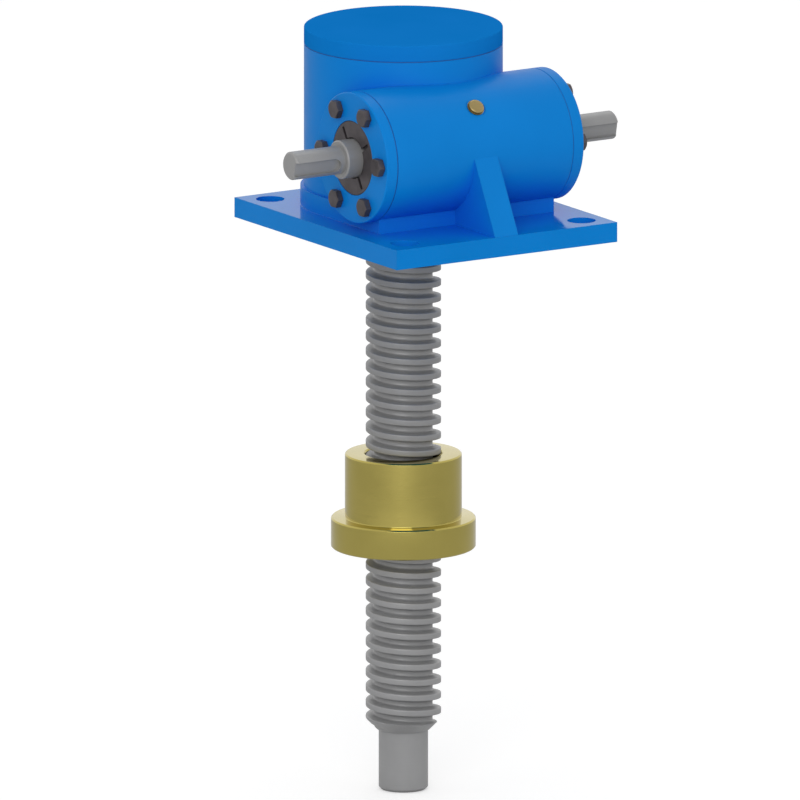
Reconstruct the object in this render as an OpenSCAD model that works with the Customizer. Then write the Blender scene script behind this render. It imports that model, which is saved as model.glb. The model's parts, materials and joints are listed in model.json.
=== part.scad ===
// Worm screw jack, travelling-nut design: a worm turns a worm wheel that is keyed on a
// left-hand trapezoidal spindle, and the flanged nut climbs the spindle.
// Origin on the spindle axis in the underside of the base plate, +Z up,
// +X along the worm shaft, worm on the -Y side.

/* [Base plate] */
// Plate size along the worm shaft
plate_x = 200; // [190:1:240]
// Plate edge in front of the spindle axis, on the worm side
plate_front = 150; // [145:1:180]
// Plate edge behind the spindle axis
plate_back = 85; // [82:1:110]
// Plate thickness
plate_t = 15.5; // [14:0.5:17.5]
// Mounting hole diameter
mount_hole_d = 22; // [14:0.5:24]
// Hole centre to plate edge
mount_hole_inset = 20; // [16:1:22]

/* [Housing] */
// Outer diameter of the upright drum
drum_d = 153; // [150:1:158]
// Height of the drum's rim, where the cover sits
drum_h = 141; // [140:0.5:143]
// Diameter of the worm barrel
barrel_d = 102; // [98:1:106]
// Length of the barrel casting
barrel_len = 158.6; // [154:0.2:160]
// Height of the worm axis above the underside
worm_z = 72.5; // [72:0.5:73.5]
// Front rib thickness
rib_t = 21; // [12:1:30]
// Height of the plinth round the foot of the drum and barrel
plinth_h = 30; // [22:1:34]
// Front face of the plinth, from the spindle axis
plinth_front = 91.3; // [80:0.1:100]

/* [Gearing] */
// Worm axis to spindle axis
centre_distance = 68.5; // [68.2:0.1:68.8]
// Teeth on the worm wheel
wheel_teeth = 24; // [24]
// Module of the worm gearing
gear_module = 4; // [4]
// Pressure angle
pressure_angle = 20; // [18:1:22]
// Play on each flank
gear_play = 0.2; // [0.15:0.05:0.3]
// Face width of the wheel
wheel_face = 26; // [20:1:30]
// Length of the worm's thread
worm_len = 64; // [56:1:70]

/* [Spindle and nut] */
// Nominal diameter of the trapezoidal thread
thread_d = 58; // [56:1:58]
// Pitch of the thread
thread_pitch = 12; // [10:1:12]
// Lower end of the thread
thread_end = 388; // [300:1:420]
// Lower end of the spindle
spindle_end = 444.6; // [420:0.1:480]
// Diameter of the journal at the lower end
journal_d = 38; // [30:1:40]
// Top of the nut at rest, below the base plate
nut_top = 181; // [100:1:240]
// Length of the nut
nut_len = 73.5; // [60:0.5:90]
// Diameter of the nut's body
nut_d = 90; // [80:1:96]
// Diameter of the nut's flange
nut_flange_d = 111.4; // [104:0.2:130]
// Thickness of the nut's flange
nut_flange_t = 23.5; // [15:0.5:26]

/* [Input shaft] */
// Diameter of the shaft through its bearings
shaft_d = 30; // [30]
// Diameter of the keyed end
stub_d = 22; // [20:1:24]
// Half length of the shaft over its ends
shaft_reach = 146; // [130:1:150]
// Where the keyed end begins, from the middle
stub_start = 102; // [97:1:104]
// Width of the keyway
keyway_w = 11; // [6:0.5:12]
// Angle of the keyways below the horizontal
keyway_dip = 12; // [0:1:90]

/* [Hidden] */
$fn = 96;
eps = 0.01;
fit = 0.05;

BLUE = [0.05, 0.42, 0.74];
STEEL = [0.52, 0.53, 0.55];
BRIGHT = [0.68, 0.69, 0.71];
BRONZE = [0.66, 0.58, 0.30];
BRASS = [0.72, 0.60, 0.30];
BLACK = [0.16, 0.15, 0.15];

// Housing, inside
drum_r = drum_d / 2;
barrel_r = barrel_d / 2;
cavity_r = 61;
plinth_r = barrel_len / 2;
seat_z = 19;
seal_pocket_z = 12;
spindle_bore_r = 30.5;

// Thrust bearings: 65 mm bore, 100 mm outside, 27 mm high
thrust_bore_r = 32.5;
thrust_outer_r = 50;
thrust_h = 27;
thrust_washer_t = 9.6;
thrust_ball_r = 6.5;
thrust_ball_circle_r = 41.25;
thrust_balls = 18;
race_play = 0.1;
upper_thrust_z = 2 * worm_z - seat_z - thrust_h;
hub_bottom = seat_z + 1;
hub_top = upper_thrust_z + thrust_h + 0.5;
hub_shoulder_r = 39;

// Covers
gasket_t = 0.6;
cover_top = 154.2;
spigot_r = cavity_r - fit;
spigot_bottom = upper_thrust_z + thrust_h - 13;
nut_pocket_top = 143.5;
cap_inner = barrel_len / 2 + gasket_t;
cap_outer = 89.2;
edge_break = 0.8;

// Worm gearing
worm_pitch_r = centre_distance - gear_module * wheel_teeth / 2;
worm_tip_r = worm_pitch_r + gear_module;
worm_root_r = worm_pitch_r - 1.2 * gear_module;
axial_pitch = PI * gear_module;
lead_angle = atan(gear_module / (2 * worm_pitch_r));
wheel_pitch_r = gear_module * wheel_teeth / 2;
wheel_base_r = wheel_pitch_r * cos(pressure_angle);
wheel_root_r = centre_distance - worm_tip_r - 0.2 * gear_module;
wheel_tip_r = wheel_pitch_r + 5.5;
throat_r = worm_root_r + 0.2 * gear_module;
tooth_pitch_angle = 360 / wheel_teeth;

// Worm shaft and its tapered roller bearings: 30 mm bore, 62 mm outside
bearing_bore_r = shaft_d / 2;
bearing_outer_r = 31;
bearing_width = 17.25;
bearing_end = 77;
bearing_start = bearing_end - bearing_width;
collar_r = 19;
roller_mid = [9, 23.2];
roller_tilt = 11.2;
roller_len = 11;
roller_big_r = 3.9;
roller_small_r = 3.1;
rollers = 17;
roller_half_cone = atan((roller_big_r - roller_small_r) / roller_len);
roller_mid_r = (roller_big_r + roller_small_r) / 2;
cup_angle = roller_tilt + roller_half_cone;
cone_angle = roller_tilt - roller_half_cone;

// Adjuster rings and seals
ring_r = 29;
ring_outer = cap_outer;
ring_lip = 3.4;
ring_slots = 4;
ring_slot_turn = 31.5;
seal_r = 23.5;
seal_t = 7;
keyway_floor = 7.5;
keyway_start = stub_start + 4;

// Bolts: M8 with hexagon heads
bolt_r = 4;
bolt_head_flats = 13;
bolt_head_h = 5.3;
bolt_len = 25;
bolt_circle_r = 40.5;
bolts = 6;

// Trapezoidal thread: 30 degree flanks, half a millimetre of play at crest and root
flank = 15;
thread_crest_r = thread_d / 2;
thread_root_r = thread_crest_r - thread_pitch / 2 - 0.5;
crest_half = 0.183 * thread_pitch;
thread_play = 0.3;
bore_crest_r = thread_crest_r + 0.5;
bore_root_r = thread_root_r + 0.5;
bore_crest_half = crest_half + thread_play - 0.5 * tan(flank);
thread_facets = 30;
collar_bottom = -12;
groove_bottom = -18;
taper_h = 9.5;
spindle_core_r = 25;
spindle_top = 141.5;
lock_nut_h = 12;
tab_washer_t = 1.3;
key_w = 14;
key_z = [50, 95];

function involute(a) = tan(a) * 180 / PI - a;

// Half of the angle between two wheel teeth, at radius r from the wheel's axis
function gap_half_angle(r) = 90 / wheel_teeth + gear_play / wheel_pitch_r * 180 / PI
    - involute(pressure_angle) + involute(acos(min(1, wheel_base_r / r)));

function polar(r, a) = [r * sin(a), -r * cos(a)];

// ---------------------------------------------------------------- shared shapes

module ring(outer, inner, low, high) {
    rotate_extrude() polygon([[inner, low], [outer, low], [outer, high], [inner, high]]);
}

module along_worm(side = 1) {
    translate([0, -centre_distance, worm_z]) rotate([0, 90 * side, 0]) children();
}

module round_worm_axis(count, radius) {
    for (i = [0 : count - 1]) rotate([0, 0, 90 + i * 360 / count]) translate([radius, 0, 0]) children();
}

// A right-hand helical ridge as one closed solid: columns run along the axis, four to each
// turn, rows run round it, and each end is a fan to a point on the axis. The ridge's crest
// passes through z = 0 at angle 0.
module helix_rod(turns, pitch, root_r, crest_r, crest_half, flank_angle, rows) {
    root_half = crest_half + (crest_r - root_r) * tan(flank_angle);
    offsets = [-root_half, -crest_half, crest_half, root_half];
    radii = [root_r, crest_r, crest_r, root_r];
    columns = 4 * turns;
    base = -floor(turns / 2) * pitch;
    function at(i, j) = j % columns + (i % rows) * columns;
    function seam(i, j) = i < rows ? at(i, j) : j + 4;
    side = [for (i = [0 : rows - 1], j = [0 : columns - (i == rows - 1 ? 6 : 2)])
        let (a = seam(i, j), b = seam(i + 1, j), c = seam(i + 1, j + 1), d = seam(i, j + 1))
        each [[a, c, b], [a, d, c]]];
    grid = [for (i = [0 : rows - 1], j = [0 : columns - 1])
        let (angle = 360 * i / rows, k = j % 4)
        [radii[k] * cos(angle), radii[k] * sin(angle),
         base + pitch * (floor(j / 4) + i / rows) + offsets[k]]];
    foot = len(grid);
    head = foot + 1;
    low_edge = concat([for (i = [0 : rows - 1]) at(i, 0)], [4, 3, 2, 1]);
    high_edge = concat([for (i = [0 : rows - 1]) at(i, columns - 1)],
        [for (k = [2 : 5]) at(rows - 1, columns - k)]);
    low_fan = [for (i = [0 : len(low_edge) - 1])
        [foot, low_edge[i], low_edge[(i + 1) % len(low_edge)]]];
    high_fan = [for (i = [0 : len(high_edge) - 1])
        [head, high_edge[(i + 1) % len(high_edge)], high_edge[i]]];
    points = concat(grid, [[0, 0, base + pitch / 2 + offsets[0]],
        [0, 0, base + pitch * (turns - 0.5) + offsets[3]]]);
    polyhedron(points = points, faces = concat(side, low_fan, high_fan), convexity = 20);
}

module spindle_helix(root_r, crest_r, crest_half, low, high) {
    turns = ceil((high - low) / thread_pitch) + 3;
    middle = round((low + high) / 2 / thread_pitch) * thread_pitch;
    translate([0, 0, middle]) mirror([0, 1, 0])
        helix_rod(turns, thread_pitch, root_r, crest_r, crest_half, flank, thread_facets);
}

// ---------------------------------------------------------------- housing

module plinth_outline() {
    circle(r = plinth_r, $fn = 128);
    translate([-plinth_r, -plinth_front]) square([2 * plinth_r, plinth_front]);
}

module rib() {
    translate([-rib_t / 2, 0, 0]) rotate([90, 0, 90]) linear_extrude(rib_t)
        polygon([[-plinth_front + 5, plate_t - 1], [-plate_front + 0.4, plate_t - 1],
                 [-plate_front + 0.4, plate_t], [-centre_distance - barrel_r + 0.3, worm_z],
                 [-plinth_front + 5, worm_z]]);
}

module mount_holes() {
    for (x = [-1, 1] * (plate_x / 2 - mount_hole_inset),
         y = [mount_hole_inset - plate_front, plate_back - mount_hole_inset])
        translate([x, y, -1]) cylinder(d = mount_hole_d, h = plate_t + 2);
}

module plug_axis() {
    translate([0, -centre_distance, worm_z]) rotate([45, 0, 0]) children();
}

module lock_screw_axes() {
    for (a = [62, 118]) rotate([0, 0, a]) translate([0, 0, drum_h - 14]) rotate([0, 90, 0]) children();
}

module housing() {
    color(BLUE) difference() {
        union() {
            translate([-plate_x / 2, -plate_front, 0]) cube([plate_x, plate_front + plate_back, plate_t]);
            cylinder(r = drum_r, h = drum_h, $fn = 128);
            linear_extrude(plinth_h) plinth_outline();
            along_worm() cylinder(r = barrel_r, h = barrel_len, center = true, $fn = 128);
            rib();
        }
        mount_holes();
        translate([0, 0, -1]) cylinder(r = thrust_outer_r - 10, h = seal_pocket_z + 1);
        cylinder(r = spindle_bore_r, h = drum_h);
        translate([0, 0, seat_z]) cylinder(r = thrust_outer_r + fit, h = drum_h);
        translate([0, 0, seat_z + 21]) cylinder(r = cavity_r, h = drum_h);
        along_worm() cylinder(r = bearing_outer_r + fit, h = barrel_len + 2, center = true);
        for (side = [-1, 1]) along_worm(side) round_worm_axis(bolts, bolt_circle_r)
            translate([0, 0, cap_outer - bolt_len - 2]) cylinder(r = bolt_r + fit, h = bolt_len);
        plug_axis() {
            cylinder(r = 5 + fit, h = barrel_r + 1);
            translate([0, 0, barrel_r - 0.6]) cylinder(r = 8, h = 3);
        }
        lock_screw_axes() translate([0, 0, cavity_r - 1]) cylinder(r = bolt_r + fit, h = 20);
    }
}

module top_cover() {
    color(BLUE) rotate_extrude($fn = 128) polygon([
        [0, nut_pocket_top], [41, nut_pocket_top], [41, upper_thrust_z + thrust_h],
        [thrust_outer_r + fit, upper_thrust_z + thrust_h], [thrust_outer_r + fit, spigot_bottom],
        [spigot_r, spigot_bottom], [spigot_r, drum_h + gasket_t],
        [drum_r - edge_break / 2, drum_h + gasket_t], [drum_r, drum_h + gasket_t + edge_break / 2],
        [drum_r, cover_top - edge_break], [drum_r - edge_break, cover_top], [0, cover_top]]);
}

module top_cover_gasket() {
    color(BLACK) ring(drum_r - 0.4, spigot_r + 0.1, drum_h, drum_h + gasket_t);
}

module cover_lock_screws() {
    color(BLACK) lock_screw_axes() translate([0, 0, cavity_r]) difference() {
        union() {
            cylinder(r1 = bolt_r - 1, r2 = bolt_r, h = 1);
            translate([0, 0, 1]) cylinder(r = bolt_r, h = 11);
        }
        translate([0, 0, 7]) cylinder(d = 4 / cos(30), h = 6, $fn = 6);
    }
}

// ---------------------------------------------------------------- worm end covers

module worm_cover(side) {
    color(BLUE) along_worm(side) difference() {
        rotate_extrude($fn = 128) polygon([
            [ring_r + fit, bearing_end + 0.4], [bearing_outer_r - fit, bearing_end + 0.4],
            [bearing_outer_r - fit, cap_inner], [barrel_r - edge_break / 2, cap_inner],
            [barrel_r, cap_inner + edge_break / 2], [barrel_r, cap_outer - edge_break],
            [barrel_r - edge_break, cap_outer], [ring_r + fit, cap_outer]]);
        round_worm_axis(bolts, bolt_circle_r)
            translate([0, 0, cap_inner - 1]) cylinder(r = bolt_r + 0.4, h = 20);
    }
}

module worm_cover_shims() {
    color(BLACK) for (side = [-1, 1]) along_worm(side) difference() {
        ring(barrel_r - 0.4, bearing_outer_r + 0.2, barrel_len / 2, cap_inner);
        round_worm_axis(bolts, bolt_circle_r)
            translate([0, 0, cap_inner - 2]) cylinder(r = bolt_r + 0.6, h = 4);
    }
}

module hex_bolt(len) {
    head_r = bolt_head_flats / 2 / cos(30);
    chamfer_r = bolt_head_flats / 2 - 0.3;
    translate([0, 0, -len]) cylinder(r = bolt_r, h = len);
    intersection() {
        cylinder(r = head_r, h = bolt_head_h, $fn = 6);
        cylinder(r1 = chamfer_r + bolt_head_h / tan(30), r2 = chamfer_r, h = bolt_head_h);
    }
}

module cover_bolts(side) {
    color(BLACK) along_worm(side) round_worm_axis(bolts, bolt_circle_r)
        translate([0, 0, cap_outer]) hex_bolt(bolt_len);
}

// Threaded ring that sets the play of the tapered bearings, with a seal behind its lip
module adjuster_ring(side) {
    color(BLACK) along_worm(side) difference() {
        rotate_extrude() polygon([
            [seal_r + fit, bearing_end], [ring_r, bearing_end], [ring_r, ring_outer - 0.6],
            [ring_r - 0.6, ring_outer], [bearing_bore_r + 1, ring_outer],
            [bearing_bore_r + 1, ring_outer - ring_lip], [seal_r + fit, ring_outer - ring_lip]]);
        for (i = [0 : ring_slots - 1]) rotate([0, 0, i * 360 / ring_slots - side * ring_slot_turn])
            translate([bearing_bore_r, -1.5, ring_outer - 2.2]) cube([11, 3, 5]);
    }
}

module worm_seals() {
    color(BLACK) for (side = [-1, 1]) along_worm(side)
        ring(seal_r, bearing_bore_r + 0.06, ring_outer - ring_lip - seal_t, ring_outer - ring_lip);
}

// ---------------------------------------------------------------- worm bearings

// Radius of a raceway a distance s out from the shaft's shoulder
function cup_race(s) = roller_mid[1] + (roller_mid_r / cos(roller_half_cone) + race_play) / cos(cup_angle)
    - tan(cup_angle) * (s - roller_mid[0]);
function cone_race(s) = roller_mid[1] - (roller_mid_r / cos(roller_half_cone) + fit) / cos(cone_angle)
    - tan(cone_angle) * (s - roller_mid[0]);
function roller_axis(s) = roller_mid[1] - tan(roller_tilt) * (s - roller_mid[0]);

module each_bearing() {
    for (side = [-1, 1]) along_worm(side) translate([0, 0, bearing_start]) children();
}

module bearing_rollers(grow = 0) {
    for (i = [0 : rollers - 1]) rotate([0, 0, i * 360 / rollers])
        translate([roller_mid[1], 0, roller_mid[0]]) rotate([0, -roller_tilt, 0])
            cylinder(r1 = roller_big_r + grow, r2 = roller_small_r + grow,
                     h = roller_len + 2 * grow, center = true, $fn = 32);
}

module worm_bearing_cups() {
    color(BRIGHT) each_bearing() rotate_extrude() polygon([
        [cup_race(3.25), 3.25], [bearing_outer_r - 0.02, 3.25],
        [bearing_outer_r - 0.02, bearing_width], [cup_race(bearing_width), bearing_width]]);
}

module worm_bearing_cones() {
    color(BRIGHT) each_bearing() rotate_extrude() polygon([
        [bearing_bore_r + 0.01, 0], [22.5, 0], [22.5, 2.5], [cone_race(2.5), 2.5],
        [cone_race(15), 15], [cone_race(15) + 1.2, 15], [cone_race(15) + 1.2, 16],
        [bearing_bore_r + 0.01, 16]]);
}

module worm_bearing_rollers() {
    color(STEEL) each_bearing() bearing_rollers();
}

module worm_bearing_cages() {
    color(BRASS) each_bearing() difference() {
        rotate_extrude() polygon([
            [roller_axis(1.2), 1.2], [roller_axis(1.2) + 1.2, 1.2],
            [roller_axis(16.6) + 1.2, 16.6], [roller_axis(16.6), 16.6]]);
        bearing_rollers(0.12);
    }
}

// ---------------------------------------------------------------- worm shaft

module keyway() {
    rotate([0, 0, -90 + keyway_dip]) translate([keyway_floor, 0, 0]) {
        translate([0, -keyway_w / 2, keyway_start + keyway_w / 2]) cube([20, keyway_w, 60]);
        translate([0, 0, keyway_start + keyway_w / 2]) rotate([0, 90, 0]) cylinder(d = keyway_w, h = 20);
    }
}

// One end of the shaft, turned about its axis so that the seam of its round faces is clear of the keyway
module shaft_end(side) {
    rotate([0, 0, side * keyway_dip - 22.5]) rotate_extrude() polygon([
        [0, worm_len / 2 - 1], [collar_r - 1.5, worm_len / 2 - 1], [collar_r, worm_len / 2 + 0.5],
        [collar_r, bearing_start], [bearing_bore_r, bearing_start],
        [bearing_bore_r, stub_start - 1], [bearing_bore_r - 1, stub_start],
        [stub_d / 2, stub_start], [stub_d / 2, shaft_reach - 1.2],
        [stub_d / 2 - 1.2, shaft_reach], [0, shaft_reach]]);
}

module worm_thread() {
    crest = axial_pitch / 4 - gear_module * tan(pressure_angle);
    turns = ceil(worm_len / axial_pitch) + 3;
    intersection() {
        rotate([0, 0, 90]) helix_rod(turns, axial_pitch, worm_root_r, worm_tip_r, crest,
                                     pressure_angle, thread_facets);
        cylinder(r = worm_tip_r + 2, h = worm_len, center = true);
    }
}

module worm_shaft() {
    color(STEEL) translate([0, -centre_distance, worm_z]) difference() {
        union() {
            rotate([0, 90, 0]) worm_thread();
            for (side = [-1, 1]) rotate([0, 90 * side, 0]) shaft_end(side);
        }
        rotate([0, 90, 0]) keyway();
        mirror([1, 0, 0]) rotate([0, 90, 0]) keyway();
    }
}

// ---------------------------------------------------------------- worm wheel

// One gap between two teeth: involute flanks down to the base circle, radial walls below it
module tooth_gap() {
    flank_radii = [for (i = [0 : 5]) wheel_base_r + 0.01 + (wheel_tip_r + 2 - wheel_base_r) * i / 5];
    right = concat([polar(wheel_root_r, gap_half_angle(wheel_base_r) * 0.8)],
        [for (r = flank_radii) polar(r, gap_half_angle(r))]);
    left = [for (i = [len(right) - 1 : -1 : 0]) [-right[i][0], right[i][1]]];
    rotate([0, lead_angle, 0]) linear_extrude(wheel_face * 2.4, center = true) polygon(concat(right, left));
}

module wheel_blank() {
    difference() {
        rotate_extrude() polygon([
            [spindle_core_r + 0.02, hub_bottom], [thrust_bore_r - 0.02, hub_bottom],
            [thrust_bore_r - 0.02, seat_z + thrust_h], [hub_shoulder_r, seat_z + thrust_h],
            [hub_shoulder_r, worm_z - wheel_face / 2 + 2], [wheel_tip_r - 2, worm_z - wheel_face / 2],
            [wheel_tip_r, worm_z - wheel_face / 2 + 2], [wheel_tip_r, worm_z + wheel_face / 2 - 2],
            [wheel_tip_r - 2, worm_z + wheel_face / 2], [hub_shoulder_r, worm_z + wheel_face / 2 - 2],
            [hub_shoulder_r, upper_thrust_z], [thrust_bore_r - 0.02, upper_thrust_z],
            [thrust_bore_r - 0.02, hub_top], [spindle_core_r + 0.02, hub_top]]);
        translate([0, 0, worm_z]) rotate_extrude() translate([centre_distance, 0]) circle(r = throat_r, $fn = 64);
    }
}

module worm_wheel() {
    color(BRONZE) difference() {
        wheel_blank();
        translate([0, 0, worm_z]) for (i = [0 : wheel_teeth - 1]) rotate([0, 0, i * tooth_pitch_angle]) tooth_gap();
        translate([0, -key_w / 2 - 0.02, 0]) cube([28.8, key_w + 0.04, drum_h]);
    }
}

// Round-ended key lying along the spindle's +X side, between two distances from the axis
module key_shape(grow, low, high) {
    translate([low, 0, 0]) rotate([90, 0, 90]) linear_extrude(high - low) {
        translate([-key_w / 2 - grow, key_z[0] + key_w / 2]) square([key_w + 2 * grow, key_z[1] - key_z[0] - key_w]);
        for (z = [key_z[0] + key_w / 2, key_z[1] - key_w / 2]) translate([0, z]) circle(r = key_w / 2 + grow);
    }
}

module wheel_key() {
    color(STEEL) key_shape(0, 19.6, 28.6);
}

// ---------------------------------------------------------------- thrust bearings

// Washer with its raceway up; race_z is where the balls' centres run above its back face
module thrust_washer(inner, outer) {
    race_z = thrust_h / 2;
    difference() {
        ring(outer, inner, 0, thrust_washer_t);
        rotate_extrude() translate([thrust_ball_circle_r, race_z]) circle(r = thrust_ball_r + race_play, $fn = 64);
    }
}

module housing_washer() { thrust_washer(thrust_bore_r + 1, thrust_outer_r); }
module shaft_washer() { thrust_washer(thrust_bore_r, thrust_outer_r - 1); }

module thrust_balls() {
    for (i = [0 : thrust_balls - 1]) rotate([0, 0, i * 360 / thrust_balls])
        translate([thrust_ball_circle_r, 0, thrust_h / 2]) sphere(r = thrust_ball_r, $fn = 32);
}

module thrust_cage() {
    difference() {
        translate([0, 0, thrust_h / 2]) ring(49.3, 33.2, -2, 2);
        for (i = [0 : thrust_balls - 1]) rotate([0, 0, i * 360 / thrust_balls])
            translate([thrust_ball_circle_r, 0, 0]) cylinder(r = thrust_ball_r + 0.1, h = thrust_h, $fn = 48);
    }
}

module at_lower() { translate([0, 0, seat_z]) children(); }
module at_upper() { translate([0, 0, upper_thrust_z]) children(); }
module turned_over() { translate([0, 0, thrust_h]) mirror([0, 0, 1]) children(); }

module lower_housing_washer() { color(BRIGHT) at_lower() housing_washer(); }
module lower_shaft_washer() { color(BRIGHT) at_lower() turned_over() shaft_washer(); }
module lower_thrust_balls() { color(BRIGHT) at_lower() thrust_balls(); }
module lower_thrust_cage() { color(BRASS) at_lower() thrust_cage(); }
module upper_housing_washer() { color(BRIGHT) at_upper() turned_over() housing_washer(); }
module upper_shaft_washer() { color(BRIGHT) at_upper() shaft_washer(); }
module upper_thrust_balls() { color(BRIGHT) at_upper() thrust_balls(); }
module upper_thrust_cage() { color(BRASS) at_upper() thrust_cage(); }

// ---------------------------------------------------------------- spindle and nut

module tab_washer() {
    color(STEEL) translate([0, 0, hub_top]) linear_extrude(tab_washer_t) {
        difference() {
            circle(r = 36);
            circle(r = spindle_core_r + 0.1);
        }
        translate([-spindle_core_r - 2, -3.4]) square([5, 6.8]);
        for (i = [0 : 8]) rotate([0, 0, 20 + i * 40]) translate([35, -2.5]) square([4, 5]);
    }
}

module lock_nut() {
    low = hub_top + tab_washer_t;
    color(STEEL) difference() {
        ring(35, spindle_core_r + 0.02, low, low + lock_nut_h);
        for (i = [0 : 3]) rotate([0, 0, 45 + i * 90]) translate([31.5, -3.5, low - 1]) cube([6, 7, lock_nut_h + 2]);
    }
}

module spindle_thread() {
    intersection() {
        spindle_helix(thread_root_r, thread_crest_r, crest_half, -thread_end - taper_h, groove_bottom);
        rotate_extrude() polygon([
            [0, groove_bottom], [thread_crest_r + 1, groove_bottom], [thread_crest_r + 1, -thread_end],
            [thread_crest_r + 1 - taper_h, -thread_end - taper_h], [0, -thread_end - taper_h]]);
    }
}

module spindle() {
    journal_r = journal_d / 2;
    color(STEEL) difference() {
        union() {
            spindle_thread();
            rotate_extrude() polygon([
                [0, groove_bottom], [thread_root_r - 0.8, groove_bottom], [thread_root_r - 0.8, collar_bottom - 2],
                [thread_crest_r - 2, collar_bottom], [thread_crest_r, collar_bottom], [thread_crest_r, hub_bottom],
                [spindle_core_r, hub_bottom], [spindle_core_r, spindle_top - 1.5],
                [spindle_core_r - 1.5, spindle_top], [0, spindle_top]]);
            rotate_extrude() polygon([
                [0, -spindle_end], [journal_r - 2, -spindle_end], [journal_r, -spindle_end + 2],
                [journal_r, -thread_end - taper_h], [0, -thread_end - taper_h]]);
        }
        key_shape(0.02, 19.4, 40);
        translate([-spindle_core_r - 3, -3.5, hub_top]) cube([6.5, 7, 40]);
    }
}

module spindle_seal() {
    color(BLACK) ring(thrust_outer_r - 10 - 0.02, thread_crest_r + 0.08, 1, 11);
}

module travelling_nut() {
    low = -nut_top - nut_len;
    color(BRONZE) difference() {
        rotate_extrude($fn = 128) polygon([
            [0, low], [nut_flange_d / 2 - 1, low], [nut_flange_d / 2, low + 1],
            [nut_flange_d / 2, low + nut_flange_t - 1], [nut_flange_d / 2 - 1, low + nut_flange_t],
            [nut_d / 2, low + nut_flange_t], [nut_d / 2, -nut_top - 1], [nut_d / 2 - 1, -nut_top],
            [0, -nut_top]]);
        spindle_helix(bore_root_r, bore_crest_r, bore_crest_half, low - 2, -nut_top + 2);
    }
}

// ---------------------------------------------------------------- oil plug

module oil_plug() {
    color(BRASS) plug_axis() difference() {
        union() {
            translate([0, 0, barrel_r - 12]) cylinder(r = 5, h = 13);
            translate([0, 0, barrel_r + 0.4]) rotate_extrude() polygon([
                [0, 0], [6.25, 0], [6.25, 1.6], [5.5, 2.4], [0, 2.4]]);
        }
        translate([0, 0, barrel_r - 1]) cylinder(d = 5 / cos(30), h = 6, $fn = 6);
    }
}

module oil_plug_washer() {
    color(BRASS) plug_axis() ring(6.8, 5 + fit, barrel_r - 0.6, barrel_r + 0.4);
}

housing();
top_cover();
top_cover_gasket();
cover_lock_screws();
worm_cover(-1);  // worm_cover_left
worm_cover(1);  // worm_cover_right
worm_cover_shims();
cover_bolts(-1);  // cover_bolts_left
cover_bolts(1);  // cover_bolts_right
adjuster_ring(-1);  // adjuster_ring_left
adjuster_ring(1);  // adjuster_ring_right
worm_seals();
worm_bearing_cups();
worm_shaft();
worm_bearing_cones();
worm_bearing_rollers();
worm_bearing_cages();
worm_wheel();
wheel_key();
lower_housing_washer();
lower_shaft_washer();
lower_thrust_balls();
lower_thrust_cage();
upper_housing_washer();
upper_shaft_washer();
upper_thrust_balls();
upper_thrust_cage();
tab_washer();
lock_nut();
spindle();
spindle_seal();
travelling_nut();
oil_plug();
oil_plug_washer();
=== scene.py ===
import json
import math

import bpy
import bmesh
import numpy as np
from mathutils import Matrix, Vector


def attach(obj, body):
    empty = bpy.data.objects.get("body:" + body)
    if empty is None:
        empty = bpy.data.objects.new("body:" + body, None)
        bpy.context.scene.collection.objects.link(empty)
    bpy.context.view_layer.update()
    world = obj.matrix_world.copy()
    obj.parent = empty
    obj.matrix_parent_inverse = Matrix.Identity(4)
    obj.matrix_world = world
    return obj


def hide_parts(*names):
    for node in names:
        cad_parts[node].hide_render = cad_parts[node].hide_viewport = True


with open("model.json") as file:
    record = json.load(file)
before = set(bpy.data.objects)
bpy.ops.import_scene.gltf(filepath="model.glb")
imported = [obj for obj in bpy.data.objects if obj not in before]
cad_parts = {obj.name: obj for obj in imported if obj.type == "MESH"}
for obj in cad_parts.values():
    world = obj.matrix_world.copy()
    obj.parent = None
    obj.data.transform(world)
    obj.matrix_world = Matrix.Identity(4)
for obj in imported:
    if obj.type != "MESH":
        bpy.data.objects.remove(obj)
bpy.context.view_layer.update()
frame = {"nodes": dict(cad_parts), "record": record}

# ---------------------------------------------------------------- sizes, in millimetres, and counts of steps

MM = 0.001
WORM_AXIS_Y = -68.5
WORM_AXIS_Z = 72.5
PLATE_TOP = 15.5

# the spindle's thread
THREAD_PITCH = 12.0
THREAD_CREST_R = 29.0
THREAD_ROOT_R = 22.5
CREST_HALF = 2.196
FLANK = math.radians(15)
THREAD_CREST_FILLET = 0.5
THREAD_ROOT_FILLET = 1.4
THREAD_SPACING = 1.3
THREAD_END = -388.0
THREAD_TAPER = 9.5
THREAD_TAPER_LEAD = 1.0

# the spindle's plain parts, from its foot up
SPINDLE_END = -444.6
JOURNAL_R = 19.0
JOURNAL_CHAMFER = 2.0
GROOVE_BOTTOM = -18.0
GROOVE_R = 21.7
GROOVE_FILLET = 1.5
COLLAR_BOTTOM = -12.0
COLLAR_TOP = 20.0
COLLAR_CONE = 2.0
CORE_R = 25.0
SPINDLE_TOP = 141.5
SPINDLE_TOP_CHAMFER = 1.5

# the nut
NUT_TOP = -181.0
NUT_BOTTOM = -254.5
NUT_R = 45.0
NUT_FLANGE_R = 55.7
NUT_FLANGE_TOP = -231.0
NUT_BORE_ROOT_R = 23.0
NUT_BORE_CREST_R = 29.5
NUT_PLAY = 0.3
NUT_THREAD_FILLET = 0.4
NUT_THREAD_SPACING = 0.7
NUT_CHAMFER = 1.0
NUT_FLANGE_FILLET = 0.6
NUT_MOUTH = 1.0
NUT_MOUTH_SLOPE = 0.7

# the drum's lid
LID_TOP = 154.2
LID_R = 76.5
LID_SEAT = 141.6
LID_SPIGOT_R = 60.95
LID_SPIGOT_BOTTOM = 113.0
LID_BEARING_R = 50.05
LID_BEARING_SEAT = 126.0
LID_POCKET_R = 41.0
LID_POCKET_TOP = 143.5
LID_POCKET_FILLET = 1.0
LID_RIM = 0.8

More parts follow.
